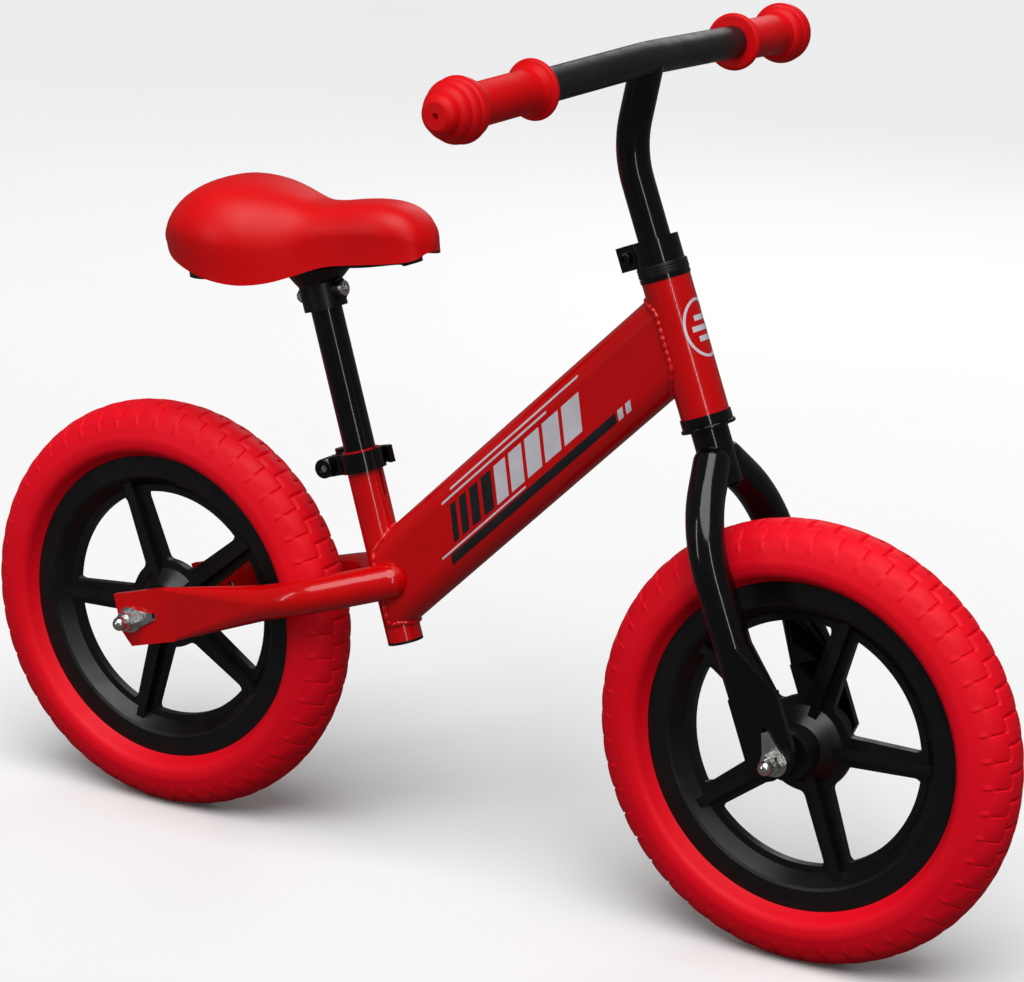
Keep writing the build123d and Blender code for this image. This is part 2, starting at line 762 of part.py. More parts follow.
ear_face = clamp_slot / 2 + clamp_ear_thickness
clamp_bolt_line = Pos(
    -(steerer_clamp_od / 2 + clamp_ear_reach) / 2, 0, (clamp_low + clamp_high) / 2
)


def steerer_clamp():
    body = rod(steerer_clamp_od / 2, clamp_low, clamp_high)
    ears = Box(clamp_ear_reach, 2 * ear_face, steerer_clamp_height)
    middle = (clamp_low + clamp_high) / 2
    body += Pos(-clamp_ear_reach / 2, 0, middle) * ears
    body -= rod(steerer_radius, clamp_low - wall_margin, clamp_high + wall_margin)
    slot = Box(2 * clamp_ear_reach, clamp_slot, 2 * steerer_clamp_height)
    body -= Pos(-clamp_ear_reach, 0, middle) * slot
    shaft = rod(clamp_bolt_diameter / 2, -2 * ear_face, 2 * ear_face)
    body -= clamp_bolt_line * crosswise(shaft)
    return steer * body


def steerer_clamp_bolt():
    outer = -ear_face - clamp_bolt_head_height
    head = rod(clamp_bolt_head / 2, outer, -ear_face)
    rim = head.edges().filter_by(GeomType.CIRCLE).sort_by(Axis.Z)[0]
    head = fillet(rim, clamp_bolt_round)
    head -= hexagon_prism(
        clamp_bolt_key, outer - wall_margin, outer + clamp_bolt_key_depth
    )
    body = head + rod(clamp_bolt_diameter / 2, -ear_face, ear_face + clamp_bolt_tail)
    return steer * (clamp_bolt_line * crosswise(body))


def steerer_clamp_nut():
    body = hexagon_prism(clamp_nut_across_flats, ear_face, ear_face + clamp_nut_height)
    bore = clamp_bolt_diameter / 2
    body -= rod(bore, ear_face - wall_margin, ear_face + clamp_nut_height + wall_margin)
    return steer * (clamp_bolt_line * crosswise(body))


# ---- Handlebar
stem_foot = clamp_high - stem_insertion
stem_corner = head_tube_length + stem_bend_height
upper_stem = Vector(cos(radians(stem_upper_angle)), 0, sin(radians(stem_upper_angle)))
bar_centre = head_foot + steer_up * stem_corner + upper_stem * stem_upper_length
sweep_back = radians(bar_sweep)
drop = radians(bar_drop)
bar_right = Vector(-sin(sweep_back) * cos(drop), -cos(sweep_back) * cos(drop), -sin(drop))
bar_left = Vector(bar_right.X, -bar_right.Y, bar_right.Z)


def bar_path():
    return FilletPolyline(
        bar_centre + bar_right * bar_half_length,
        bar_centre,
        bar_centre + bar_left * bar_half_length,
        radius=bar_bend_radius,
    )


def handlebar_tube():
    return swept_pipe(bar_path(), bar_od / 2, bar_od / 2 - tube_wall)


def stem():
    path = FilletPolyline(
        head_foot + steer_up * stem_foot,
        head_foot + steer_up * stem_corner,
        bar_centre - upper_stem * stem_short,
        radius=stem_bend_radius,
    )
    body = swept_pipe(path, post_radius, post_radius - tube_wall)
    body -= swept(bar_path(), Circle(bar_od / 2 + weld_gap))
    return max(body.solids(), key=lambda piece: piece.volume)


def grip_profile():
    """Radius against distance along the bar: flange, hand grip, ribbed ball end."""
    flange_end = grip_start + grip_flange_width
    edge = grip_flange_width / 2
    flange = [
        Line((bar_od / 2, grip_start), (grip_flange_radius - edge, grip_start)),
        ThreePointArc(
            (grip_flange_radius - edge, grip_start),
            (grip_flange_radius, grip_start + edge),
            (grip_flange_radius - edge, flange_end),
        ),
    ]
    ball_start = grip_end - grip_ball_length
    neck = grip_radius + grip_neck
    waist = Polyline(
        (grip_flange_radius - edge, flange_end),
        (grip_radius + grip_flare, flange_end + grip_flange_width),
        (grip_radius, flange_end + 2 * grip_flange_width),
        (grip_radius, ball_start - grip_flange_width),
        (neck, ball_start),
    )
    curves = flange + [waist]
    tip = grip_ball_radius * grip_tip_share
    bulge = (grip_ball_radius - grip_radius) * grip_ball_swell
    points = [(neck, ball_start)]
    for rib in range(1, grip_ribs + 1):
        share = rib / grip_ribs
        swell = sin(radians(20 + 140 * share)) * (1 - share ** 4)
        radius = neck + (tip - neck) * share + bulge * swell
        points.append((radius, ball_start + grip_ball_length * share))
    for low, high in zip(points, points[1:]):
        out = (low[0] + high[0]) / 2 + grip_rib_height
        curves.append(ThreePointArc(low, (out, (low[1] + high[1]) / 2), high))
    last = points[-1]
    bar_end = bar_half_length
    curves.append(
        Polyline(
            last,
            (grip_hole_radius, grip_end),
            (grip_hole_radius, bar_end),
            (bar_od / 2, bar_end),
            (bar_od / 2, grip_start),
        )
    )
    return Plane.XZ * make_face(Curve() + curves)


def right_grip():
    along = Plane(origin=bar_centre, x_dir=(0, 0, 1), z_dir=bar_right)
    return along * revolve(grip_profile(), Axis.Z, 360)


# ---- Wheels, centred on their own axle along Y
def wheel_rim(hub_space, spoke_angle):
    """One moulding: lipped rim, five ribbed spokes and hub."""
    half = rim_width / 2
    face_inner = rim_radius - rim_face_width
    bed = rim_radius - rim_bed_depth
    bed_half = rim_bed_width / 2
    web = web_half_thickness
    side = [
        (window_outer_radius - wall_margin, web),
        (window_outer_radius + rim_web_run, web),
        (face_inner, half - rim_edge),
        (face_inner + rim_face_bevel, half),
        (rim_radius - rim_edge, half),
        (rim_radius, half - rim_edge),
        (rim_radius, half - rim_edge - rim_lip_wall),
        (bed, bed_half),
    ]
    mirrored = [(radius, -offset) for radius, offset in reversed(side)]
    ring = revolve(Polygon(*side, *mirrored, align=None), Axis.Y, 360)
    hub_half = hub_space / 2 - hub_spacer_gap
    disc = crosswise(Cylinder(window_outer_radius, 2 * web))
    windows = Circle(window_outer_radius) - Circle(window_inner_radius)
    step = 360 / spoke_count
    root = spoke_root_width / 2
    tip = spoke_tip_width / 2
    for index in range(spoke_count):
        spoke = Polygon((0, -root), (0, root), (rim_radius, tip), (rim_radius, -tip),
                        align=None)
        windows -= Rot(0, 0, spoke_angle + index * step) * spoke
    windows = fillet(windows.vertices(), window_corner)
    disc -= extrude(Plane.XZ * windows, amount=2 * web, both=True)
    body = ring + disc
    rib_reach = face_inner
    for index in range(spoke_count):
        rib = Pos(rib_reach / 2, 0, 0) * Box(
            rib_reach, 2 * spoke_rib_half_thickness, spoke_rib_width
        )
        body += Rot(0, -spoke_angle - index * step, 0) * rib
    flange = hub_flange_radius + hub_flange_height
    upper = [
        (0, hub_half),
        (hub_radius, hub_half),
        (hub_radius, web + hub_cone_height),
        (hub_flange_radius, web + hub_flange_height),
        (flange, web),
    ]
    lower = [(radius, -offset) for radius, offset in reversed(upper)]
    body += revolve(Polygon(*upper, *lower, align=None), Axis.Y, 360)
    body -= crosswise(Cylinder(hub_bore_radius, 3 * hub_half))
    for end in (-1, 1):
        middle = end * (hub_half - hub_bush_width / 2)
        seat_ring = Cylinder(hub_bush_radius, hub_bush_width)
        body -= Pos(0, middle, 0) * crosswise(seat_ring)
    return body


def tyre():
    """Solid foam tyre, seated between the rim's lips."""
    half = rim_width / 2
    land = half - rim_edge - rim_lip_wall
    bed = rim_radius - rim_bed_depth
    bed_half = rim_bed_width / 2
    shoulder = tyre_width / 2
    rise = wheel_radius - tyre_shoulder_radius
    diagonal = cos(radians(45))
    crown_radius = tyre_shoulder_radius + rise * diagonal
    bulge_radius = rim_radius + tyre_bulge_rise
    crown = (crown_radius, shoulder * diagonal)
    bulge = (bulge_radius, shoulder * tyre_bulge_share)
    seat_line = Polyline(
        (rim_radius, -half),
        (rim_radius, -land),
        (bed, -bed_half),
        (bed, bed_half),
        (rim_radius, land),
        (rim_radius, half),
    )
    top = (wheel_radius, 0)
    widest = (tyre_shoulder_radius, shoulder)
    outline = Curve() + [
        seat_line,
        ThreePointArc((rim_radius, half), bulge, widest),
        ThreePointArc(widest, crown, top),
        ThreePointArc(top, (crown[0], -crown[1]), (widest[0], -widest[1])),
        ThreePointArc((widest[0], -widest[1]), (bulge[0], -bulge[1]), (rim_radius, -half)),
    ]
    return revolve(make_face(outline), Axis.Y, 360)


def hub_bush(hub_space):
    hub_half = hub_space / 2 - hub_spacer_gap
    bore = axle_diameter / 2 + running_gap
    body = pipe(hub_bush_radius, bore, hub_half - hub_bush_width, hub_half)
    return crosswise(body)


# ---- All nodes
at_rear = Pos(*rear_axle)
at_front = Pos(*front_axle)
blade_frame = Plane(origin=front_axle, x_dir=steer_up, z_dir=-steer_ahead)
right_stay = right_chainstay()
right_blade = right_fork_blade()
grip = right_grip()

nodes = {
    "head_tube": head_tube(),
    "down_tube": down_tube(),
    "seat_tube": seat_tube(),
    "right_chainstay": right_stay,
    "left_chainstay": mirror(right_stay, Plane.XZ),
    "seat_tube_plug": seat_tube_plug(),
    "upper_headset_cup": headset_cup(headset_od, upper_cup_height, 1),
    "lower_headset_cup": headset_cup(lower_cup_od, lower_cup_height, 0),
    "seat_clamp_collar": seat_clamp_collar(),
    "seat_clamp_skewer": seat_clamp_skewer(),
    "seat_clamp_nut": seat_clamp_nut(),
    "rear_axle": at_rear * axle(rear_plate_side),
    "rear_cap_nuts": at_rear * both_sides(cap_nut(rear_plate_side)),
    "rear_tab_washers": stay * both_sides(
        tab_washer(rear_plate_side, washer_tab_reach)
    ),
    "rear_axle_spacers": at_rear * both_sides(axle_spacer(rear_plate_side)),
    "seat_clamp_lever": seat_clamp_lever(),
    "seat_post": seat_post(),
    "saddle_base": saddle_base(),
    "saddle_pad": saddle_pad(),
    "saddle_bolt": saddle_bolt(),
    "saddle_bolt_nut": saddle_bolt_nut(),
    "steerer": steerer(),
    "right_fork_blade": right_blade,
    "left_fork_blade": mirror(right_blade, Plane.XZ),
    "crown_race": crown_race(),
    "headset_top_cover": headset_top_cover(),
    "steerer_clamp": steerer_clamp(),
    "steerer_clamp_bolt": steerer_clamp_bolt(),
    "steerer_clamp_nut": steerer_clamp_nut(),
    "front_axle": at_front * axle(front_plate_side),
    "front_cap_nuts": at_front * both_sides(cap_nut(front_plate_side)),
    "front_tab_washers": blade_frame * both_sides(
        tab_washer(front_plate_side, washer_tab_reach)
    ),
    "front_axle_spacers": at_front * both_sides(axle_spacer(front_plate_side)),
    "stem": stem(),
    "handlebar_tube": handlebar_tube(),
    "right_grip": grip,
    "left_grip": mirror(grip, Plane.XZ),
    "front_wheel_rim": at_front * wheel_rim(front_hub_space, front_spoke_angle),
    "front_tyre": at_front * tyre(),
    "front_hub_bushes": at_front * both_sides(hub_bush(front_hub_space)),
    "rear_wheel_rim": at_rear * wheel_rim(rear_hub_space, rear_spoke_angle),
    "rear_tyre": at_rear * tyre(),
    "rear_hub_bushes": at_rear * both_sides(hub_bush(rear_hub_space)),
}

os.makedirs("parts", exist_ok=True)
for name, shape in nodes.items():
    export_step(shape, f"parts/{name}.step")
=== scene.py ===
import bpy
import bmesh
import json
import math
from mathutils import Matrix, Vector


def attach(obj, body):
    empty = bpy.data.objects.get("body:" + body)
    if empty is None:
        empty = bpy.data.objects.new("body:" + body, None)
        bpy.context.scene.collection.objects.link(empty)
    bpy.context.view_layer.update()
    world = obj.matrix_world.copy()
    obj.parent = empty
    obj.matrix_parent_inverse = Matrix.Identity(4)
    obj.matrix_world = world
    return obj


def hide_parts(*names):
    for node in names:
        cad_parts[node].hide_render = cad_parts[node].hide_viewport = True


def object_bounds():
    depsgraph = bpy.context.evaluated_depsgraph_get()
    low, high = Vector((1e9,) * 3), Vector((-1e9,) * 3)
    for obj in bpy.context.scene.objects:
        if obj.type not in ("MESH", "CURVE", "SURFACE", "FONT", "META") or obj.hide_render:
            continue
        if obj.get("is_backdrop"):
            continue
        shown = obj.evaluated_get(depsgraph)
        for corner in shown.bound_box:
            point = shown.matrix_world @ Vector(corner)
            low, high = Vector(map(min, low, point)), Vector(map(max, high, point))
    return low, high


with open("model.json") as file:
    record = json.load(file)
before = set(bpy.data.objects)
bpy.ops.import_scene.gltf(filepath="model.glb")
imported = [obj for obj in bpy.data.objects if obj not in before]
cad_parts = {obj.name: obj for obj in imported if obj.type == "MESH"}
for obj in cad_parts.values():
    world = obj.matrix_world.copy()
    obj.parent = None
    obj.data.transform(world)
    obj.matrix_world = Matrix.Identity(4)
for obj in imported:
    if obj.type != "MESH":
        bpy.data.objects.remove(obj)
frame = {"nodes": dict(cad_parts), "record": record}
cad_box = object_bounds()

# Lengths are in millimetres down to the stage, and MM turns them into metres. Textures'
# bump distances and the whole stage are in metres.
MM = 0.001
TAU = 2 * math.pi
WHEEL_RADIUS = 152.0
WHEELBASE = 520.0
FRONT_AXLE = Vector((WHEELBASE / 2, 0, WHEEL_RADIUS))
REAR_AXLE = Vector((-WHEELBASE / 2, 0, WHEEL_RADIUS))


def leaning(angle):
    """Upward direction of an axis that leans back, and the direction ahead of it."""
    lean = math.radians(angle)
    up = Vector((-math.cos(lean), 0, math.sin(lean)))
    ahead = Vector((math.sin(lean), 0, math.cos(lean)))
    return up, ahead


def frame_at(origin, ahead, up):
    """Matrix of a frame whose X is ahead and whose Z is up."""
    side = up.cross(ahead)
    columns = Matrix((ahead, side, up)).transposed().to_4x4()
    return Matrix.Translation(origin) @ columns


STEER_UP, STEER_AHEAD = leaning(69.0)
SEAT_UP, SEAT_AHEAD = leaning(72.75)
SADDLE_TILT = math.radians(9.0)
HEAD_FOOT = FRONT_AXLE - STEER_AHEAD * 5.5 + STEER_UP * 228.0
SEAT_FOOT = REAR_AXLE + SEAT_AHEAD * 197.7 - SEAT_UP * 49.5
STEER = frame_at(HEAD_FOOT, STEER_AHEAD, STEER_UP)
SEAT = frame_at(SEAT_FOOT, SEAT_AHEAD, SEAT_UP)
SADDLE_ORIGIN = SEAT_FOOT + SEAT_UP * 274.5
SADDLE = frame_at(
    SADDLE_ORIGIN,
    Vector((math.cos(SADDLE_TILT), 0, math.sin(SADDLE_TILT))),
    Vector((-math.sin(SADDLE_TILT), 0, math.cos(SADDLE_TILT))),
)
DOWN_HEAD = HEAD_FOOT + STEER_UP * 56.5
DOWN_SEAT = SEAT_FOOT + SEAT_UP * 39.6
DOWN_RUN = DOWN_HEAD - DOWN_SEAT
DOWN_LENGTH = DOWN_RUN.length
DOWN_ALONG = DOWN_RUN.normalized()
DOWN_ACROSS = Vector((-DOWN_ALONG.z, 0, DOWN_ALONG.x))
DOWN_HALF_WIDTH = 15.5
DOWN_STRAIGHT = 15.3
HEAD_RADIUS = 16.5
SEAT_RADIUS = 12.7


# ---- Meshes
def new_object(name, verts, faces, body, slot, material, smooth_angle=35.0):
    """Mesh object from points in millimetres, riding on a body."""
    mesh = bpy.data.meshes.new(name)
    mesh.from_pydata([tuple(Vector(v) * MM) for v in verts], [], faces)
    mesh.validate()
    bm = bmesh.new()
    bm.from_mesh(mesh)
    bmesh.ops.remove_doubles(bm, verts=bm.verts, dist=1e-6)
    bmesh.ops.recalc_face_normals(bm, faces=bm.faces)
    limit = math.radians(smooth_angle)
    for edge in bm.edges:
        edge.smooth = not (edge.is_manifold and edge.calc_face_angle(0) > limit)
    for face in bm.faces:
        face.smooth = True
    bm.to_mesh(mesh)
    bm.free()
    obj = bpy.data.objects.new(name, mesh)
    bpy.context.scene.collection.objects.link(obj)
    mesh.materials.append(material)
    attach(obj, body)
    return obj


def grid_faces(rows, columns, wrap_rows, wrap_columns):
    faces = []
    for i in range(rows if wrap_rows else rows - 1):
        for j in range(columns if wrap_columns else columns - 1):
            a, b = i, (i + 1) % rows
            c, d = j, (j + 1) % columns
            faces.append((a * columns + c, b * columns + c, b * columns + d, a * columns + d))
    return faces


def smooth_step(low, high, value):
    share = min(max((value - low) / (high - low), 0.0), 1.0)
    return share * share * (3 - 2 * share)


def along(table, x):
    """Smooth value at x from a short table of (x, value), through every point of it."""
    if x <= table[0][0]:
        return table[0][1]
    if x >= table[-1][0]:
        return table[-1][1]
    slopes = []
    for k in range(len(table)):
        low, high = max(k - 1, 0), min(k + 1, len(table) - 1)
        rise = table[high][1] - table[low][1]
        slopes.append(rise / (table[high][0] - table[low][0]))
    for k in range(len(table) - 1):
        x0, y0 = table[k]
        x1, y1 = table[k + 1]
        if x <= x1:
            run = x1 - x0
            t = (x - x0) / run
            start = (2 * t**3 - 3 * t**2 + 1) * y0 + (t**3 - 2 * t**2 + t) * run * slopes[k]
            end = (3 * t**2 - 2 * t**3) * y1 + (t**3 - t**2) * run * slopes[k + 1]
            return start + end


# ---- Materials
def nodes_of(name):
    material = bpy.data.materials.new(name)
    material.use_nodes = True
    tree = material.node_tree
    shader = tree.nodes["Principled BSDF"]
    place = tree.nodes.new("ShaderNodeTexCoord")
    return material, tree, shader, place.outputs["Object"]


def noise(tree, place, scale, detail=4.0, roughness=0.5):
    node = tree.nodes.new("ShaderNodeTexNoise")
    node.inputs["Scale"].default_value = scale
    node.inputs["Detail"].default_value = detail
    node.inputs["Roughness"].default_value = roughness
    tree.links.new(place, node.inputs["Vector"])
    return node.outputs["Fac"]


def ramp(tree, value, low, high, start=0.3, end=0.7):
    """Colours or greys between two ends, over part of a texture's range."""
    node = tree.nodes.new("ShaderNodeValToRGB")
    node.color_ramp.elements[0].position = start
    node.color_ramp.elements[1].position = end
    node.color_ramp.elements[0].color = low
    node.color_ramp.elements[1].color = high
    tree.links.new(value, node.inputs["Fac"])
    return node.outputs["Color"]


def grey(value):
    return (value, value, value, 1)


def bumped(tree, shader, layers):
    """Stacks bumps: each layer is (height socket, strength, distance in metres)."""
    normal = None
    for height, strength, distance in layers:
        node = tree.nodes.new("ShaderNodeBump")
        node.inputs["Strength"].default_value = strength
        node.inputs["Distance"].default_value = distance
        tree.links.new(height, node.inputs["Height"])
        if normal is not None:
            tree.links.new(normal, node.inputs["Normal"])
        normal = node.outputs["Normal"]
    tree.links.new(normal, shader.inputs["Normal"])


def surface(name, low, high, rough, grain, bumps, coat=0.0, metal=0.0, specular=0.5,
            coat_rough=0.05, sheen=0.0):
    """Finish with colour variation, roughness variation and layered bump.

    rough is (least, most); grain is (scale, detail) of the colour's variation; bumps are
    (scale, detail, strength, distance in metres).
    """
    material, tree, shader, place = nodes_of(name)
    tint = noise(tree, place, *grain)
    tree.links.new(ramp(tree, tint, (*low, 1), (*high, 1)), shader.inputs["Base Color"])
    patch = noise(tree, place, grain[0] * 2.3, 3.0)
    tree.links.new(ramp(tree, patch, grey(rough[0]), grey(rough[1])), shader.inputs["Roughness"])
    layers = []
    for scale, detail, power, size in bumps:
        layers.append((noise(tree, place, scale, detail), power, size))
    if layers:
        bumped(tree, shader, layers)
    shader.inputs["Metallic"].default_value = metal
    shader.inputs["Coat Weight"].default_value = coat
    shader.inputs["Coat Roughness"].default_value = coat_rough
    shader.inputs["Specular IOR Level"].default_value = specular
    shader.inputs["Sheen Weight"].default_value = sheen
    return material


red_paint = surface(
    "red_gloss_paint", (0.58, 0.0, 0.001), (0.66, 0.0005, 0.002), (0.16, 0.26), (18.0, 3.0),
    [(260.0, 2.0, 0.08, 0.0004)], coat=0.5, coat_rough=0.04, specular=0.25,
)
black_paint = surface(
    "black_gloss_paint", (0.0015, 0.0015, 0.0018), (0.003, 0.003, 0.0034), (0.12, 0.2),
    (22.0, 3.0), [(300.0, 2.0, 0.06, 0.0004)], coat=0.45, coat_rough=0.05, specular=0.2,
)
satin_black = surface(
    "satin_black_paint", (0.009, 0.009, 0.0105), (0.014, 0.014, 0.016), (0.34, 0.46),
    (40.0, 4.0), [(900.0, 3.0, 0.12, 0.0003)], specular=0.4,
)
moulded_black = surface(
    "moulded_black_plastic", (0.002, 0.002, 0.0023), (0.004, 0.004, 0.0045), (0.3, 0.44),
    (30.0, 4.0), [(1400.0, 3.0, 0.14, 0.0002), (60.0, 2.0, 0.06, 0.0006)], specular=0.4,
)
bright_zinc = surface(
    "bright_zinc_plate", (0.60, 0.59, 0.57), (0.80, 0.80, 0.80), (0.14, 0.3), (120.0, 5.0),
    [(1500.0, 3.0, 0.10, 0.0002)], metal=1.0,
)
plain_steel = surface(
    "turned_steel", (0.36, 0.36, 0.37), (0.52, 0.52, 0.53), (0.28, 0.42), (160.0, 5.0),
    [(1800.0, 2.0, 0.12, 0.0002)], metal=1.0,
)
decal_white = surface(
    "white_print", (0.62, 0.60, 0.66), (0.72, 0.70, 0.76), (0.3, 0.38), (80.0, 3.0),
    [(600.0, 2.0, 0.04, 0.0002)],
)
decal_black = surface(
    "black_print", (0.010, 0.009, 0.011), (0.016, 0.014, 0.017), (0.25, 0.33), (80.0, 3.0),
    [(600.0, 2.0, 0.04, 0.0002)],
)


def foam_material():
    """Closed-cell foam: matt skin with fine cells and a slight unevenness."""
    material, tree, shader, place = nodes_of("red_foam")
    tint = noise(tree, place, 9.0, 5.0, 0.6)
    colour = ramp(tree, tint, (0.84, 0.0008, 0.010, 1), (0.92, 0.002, 0.017, 1))
    tree.links.new(colour, shader.inputs["Base Color"])
    rough = noise(tree, place, 30.0, 4.0)
    tree.links.new(ramp(tree, rough, grey(0.46), grey(0.6)), shader.inputs["Roughness"])
    cells = tree.nodes.new("ShaderNodeTexVoronoi")
    cells.inputs["Scale"].default_value = 1500.0
    tree.links.new(place, cells.inputs["Vector"])
    bumped(tree, shader, [
        (cells.outputs["Distance"], 0.10, 0.0002),
        (noise(tree, place, 70.0, 3.0), 0.10, 0.0008),
    ])
    shader.inputs["Specular IOR Level"].default_value = 0.2
    return material


def vinyl_material():
    """Saddle cover: satin vinyl with a fine pebble grain."""
    material, tree, shader, place = nodes_of("red_vinyl")
    tint = noise(tree, place, 14.0, 4.0)
    colour = ramp(tree, tint, (0.72, 0.0, 0.001, 1), (0.80, 0.0005, 0.003, 1))
    tree.links.new(colour, shader.inputs["Base Color"])
    rough = noise(tree, place, 24.0, 3.0)
    tree.links.new(ramp(tree, rough, grey(0.40), grey(0.48)), shader.inputs["Roughness"])
    pebbles = tree.nodes.new("ShaderNodeTexVoronoi")
    pebbles.feature = "SMOOTH_F1"
    pebbles.inputs["Scale"].default_value = 700.0
    tree.links.new(place, pebbles.inputs["Vector"])
    bumped(tree, shader, [
        (pebbles.outputs["Distance"], 0.10, 0.0003),
        (noise(tree, place, 22.0, 2.0), 0.05, 0.002),
    ])
    shader.inputs["Specular IOR Level"].default_value = 0.3
    return material


red_foam = foam_material()
red_vinyl = vinyl_material()
red_rubber = surface(
    "red_grip_rubber", (0.74, 0.0, 0.002), (0.82, 0.001, 0.005), (0.42, 0.54), (26.0, 4.0),
    [(1200.0, 3.0, 0.10, 0.0002), (90.0, 2.0, 0.06, 0.0006)], specular=0.22,
)

SLOT_MATERIALS = {
    "red_paint": red_paint,
    "black_steel": black_paint,
    "satin_black": satin_black,
    "bare_steel": plain_steel,
    "bright_metal": bright_zinc,
    "black_plastic": moulded_black,
    "red_foam": red_foam,
    "red_rubber": red_rubber,
    "red_vinyl": red_vinyl,
}
node_slots = {part["node"]: part["material_slot"] for part in frame["record"]["subparts"]}
for node_name, node in frame["nodes"].items():
    finish = SLOT_MATERIALS[node_slots[node_name]]
    if not node.data.materials:
        node.data.materials.append(finish)
    for index in range(len(node.material_slots)):
        node.material_slots[index].material = finish


# ---- Tyres: foam with moulded tread blocks. Edges, starts and ends are distances from the
# crown round the section; the others are heights and widths.
BLOCKS = 50
GROOVE = 1.5
GROOVE_DEPTH = 1.5
ROW_EDGE = 9.5
SHOULDER_EDGE = 20.5
SIDE_MARK_START = 23.5
SIDE_MARK_END = 30.0
SIDE_MARK_HEIGHT = 0.55
TREAD_END = 34.0
SIDE_BEAD_AT = 38.0
SIDE_BEAD_HEIGHT = 0.5
SIDE_BEAD_HALF_WIDTH = 0.8
CROWN_STRIP = 3.0
CROWN_SWELL = 0.45
SHOULDER_SWELL = 0.55
ROW_STEP = 1.1
TYRE_CORE_RADIUS = 118


def tyre_profile():
    """Half section from the crown round to the rim: (half width, radius)."""
    return [
        (0.0, 152.0), (6.0, 151.6), (11.5, 149.6), (16.5, 146.2), (20.5, 141.6),
        (23.6, 135.6), (25.2, 129.0), (25.5, 123.5), (24.4, 119.4), (21.6, 117.0),
        (17.5, 115.4), (13.2, 114.2), (12.0, 111.6), (9.8, 109.3), (0.0, 109.2),
    ]


def resampled(points, steps):
    """Points along a polyline at the given distances: (distance, first, second)."""
    out = []
    lengths = [0.0]
    for a, b in zip(points, points[1:]):
        lengths.append(lengths[-1] + math.dist(a, b))
    for s in steps:
        s = min(s, lengths[-1])
        k = max(i for i in range(len(points) - 1) if lengths[i] <= s + 1e-9)
        t = (s - lengths[k]) / (lengths[k + 1] - lengths[k])
        t = min(t, 1.0)
        a, b = points[k], points[k + 1]
        out.append((s, a[0] + (b[0] - a[0]) * t, a[1] + (b[1] - a[1]) * t))
    return out


def rounded(points, rounds=2):
    """Chaikin's corner cutting on an open line."""
    for _ in range(rounds):
        cut = [points[0]]
        for a, b in zip(points, points[1:]):
            cut.append((a[0] * 0.75 + b[0] * 0.25, a[1] * 0.75 + b[1] * 0.25))
            cut.append((a[0] * 0.25 + b[0] * 0.75, a[1] * 0.25 + b[1] * 0.75))
        cut.append(points[-1])
        points = cut
    return points


def groove_wall(distance, half_width):
    """1 in a groove, 0 outside it, with steep sides."""
    return 1.0 - smooth_step(half_width - 0.35, half_width + 0.35, abs(distance))


def tread_lift(angle_share, s):
    """Height over the smooth foam at a share of the block pitch, s mm from the crown."""
    pitch = TAU * WHEEL_RADIUS / BLOCKS
    shoulder_offset = (angle_share + 0.5) % 1.0 - 0.5
    centre_offset = angle_share % 1.0 - 0.5
    lift = 0.0
    if s < ROW_EDGE + 1.0:
        cut = groove_wall(centre_offset * pitch, GROOVE / 2)
        lift -= GROOVE_DEPTH * cut * (1 - smooth_step(ROW_EDGE - 0.4, ROW_EDGE + 0.8, s))
        swell = 1 - (2 * abs(shoulder_offset)) ** 2
        lift += CROWN_SWELL * swell * (1 - smooth_step(4, ROW_EDGE, s))
    if ROW_EDGE - 1.0 < s < SHOULDER_EDGE + 6.0:
        cut = groove_wall(shoulder_offset * pitch, GROOVE / 2)
        fade = smooth_step(ROW_EDGE - 0.6, ROW_EDGE + 0.4, s)
        fade *= 1 - smooth_step(SHOULDER_EDGE - 2.0, SHOULDER_EDGE + 1.5, s)
        lift -= GROOVE_DEPTH * cut * fade
        swell = (1 - (2 * abs(centre_offset)) ** 2) * smooth_step(ROW_EDGE, ROW_EDGE + 4, s)
        lift += SHOULDER_SWELL * swell * (1 - smooth_step(SHOULDER_EDGE, SHOULDER_EDGE + 6, s))
    step = groove_wall(s - ROW_EDGE, 0.7)
    within = angle_share % 1.0
    span = smooth_step(0.0, 0.06, within) * (1 - smooth_step(0.5, 0.56, within))
    lift -= ROW_STEP * step * span
    mark = groove_wall(shoulder_offset * pitch - 1.5, 1.3)
    side = smooth_step(SIDE_MARK_START, SIDE_MARK_START + 1.2, s)
    side *= 1 - smooth_step(SIDE_MARK_END - 1.2, SIDE_MARK_END, s)
    lift += SIDE_MARK_HEIGHT * mark * side
    return lift


